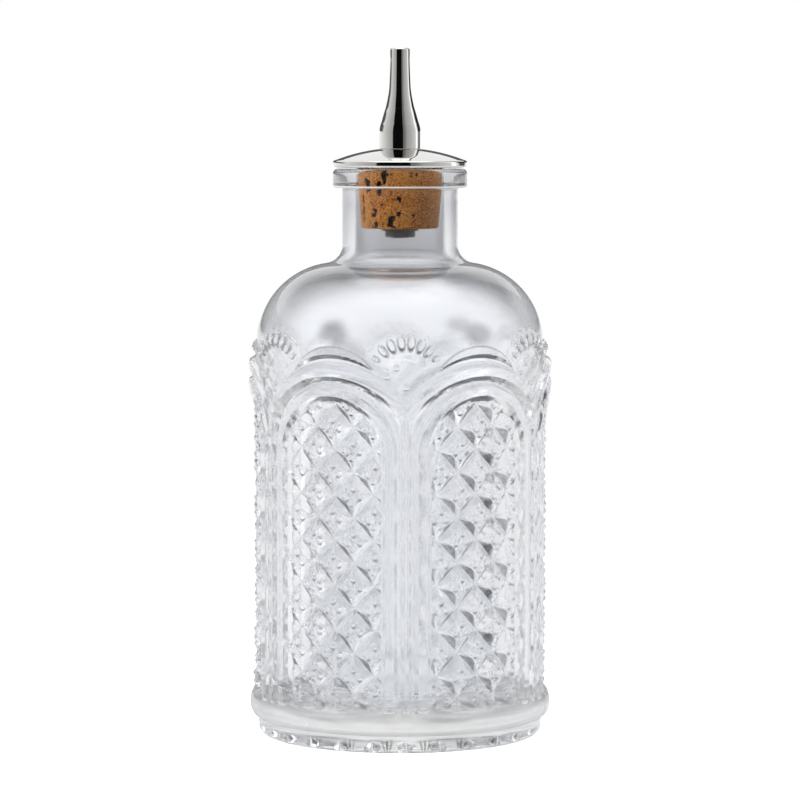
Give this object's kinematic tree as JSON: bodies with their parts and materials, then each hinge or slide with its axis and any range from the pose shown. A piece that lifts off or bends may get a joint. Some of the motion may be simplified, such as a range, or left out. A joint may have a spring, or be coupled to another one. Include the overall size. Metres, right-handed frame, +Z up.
{
  "type": "bitters bottle",
  "caption": "Clear moulded glass bottle with arched diamond panels, closed by a tapered cork that carries a polished metal dasher spout.",
  "frame": {"origin": "centre of the foot's underside, on the surface that the bottle stands on", "axes": "+Z up along the bottle's axis, -Y towards the front, which is the middle of one column of the ornament"},
  "size_m": [0.0688, 0.0688, 0.1556],
  "materials": {
    "clear_glass": "clear, fire polished, with moulded ornament",
    "natural_cork": "natural cork, dry, with dark pits",
    "polished_chrome": "mirror polished",
    "plain_steel": "turned, plain"
  },
  "bodies": {
    "bottle": {"glass_bottle": "clear_glass"},
    "stopper": {"cork_stopper": "natural_cork", "dome_flange": "polished_chrome", "stem_tube": "plain_steel", "end_washer": "plain_steel", "clamp_nut": "plain_steel"},
    "spout": {"pour_spout": "polished_chrome"}
  },
  "joints": [
    {"name": "stopper_pull", "type": "slide", "parent": "bottle", "child": "stopper", "axis": [0, 0, 1], "range_m": [0, 0.045]},
    {"name": "spout_turn", "type": "hinge", "parent": "stopper", "child": "spout", "pos_m": [0, 0, 0.133], "axis": [0, 0, 1], "continuous": true}
  ]
}
